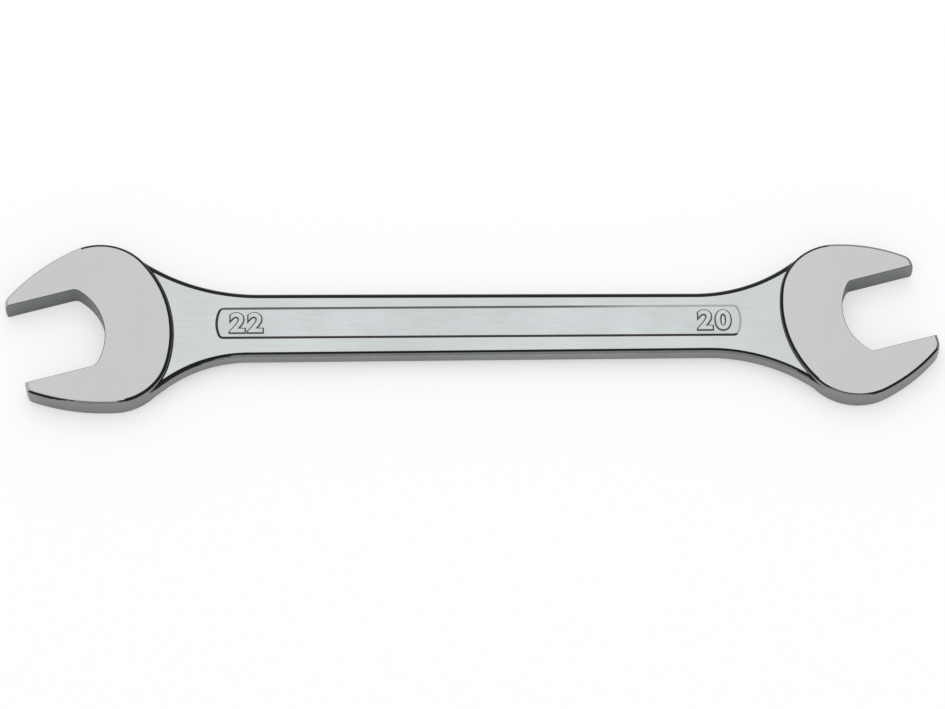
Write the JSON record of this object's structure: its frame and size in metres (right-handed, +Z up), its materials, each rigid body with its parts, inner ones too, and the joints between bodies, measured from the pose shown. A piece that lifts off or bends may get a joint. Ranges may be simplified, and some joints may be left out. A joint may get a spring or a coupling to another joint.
{
  "type": "open end wrench",
  "caption": "Flat forged wrench with an open U-shaped jaw at each end, each turned fifteen degrees from the shank, for turning hexagon nuts and bolts.",
  "frame": {"origin": "middle of the overall length on the centre line of the shank, at the height of the lower ground faces of the heads", "axes": "+X along the shank from the large head to the small head, +Y across the shank towards the side that the small jaw opens to, +Z up out of the upper ground faces"},
  "size_m": [0.2384, 0.0455, 0.007],
  "materials": {
    "satin_chrome": "satin"
  },
  "bodies": {
    "root": {"wrench_forging": "satin_chrome"}
  },
  "joints": []
}
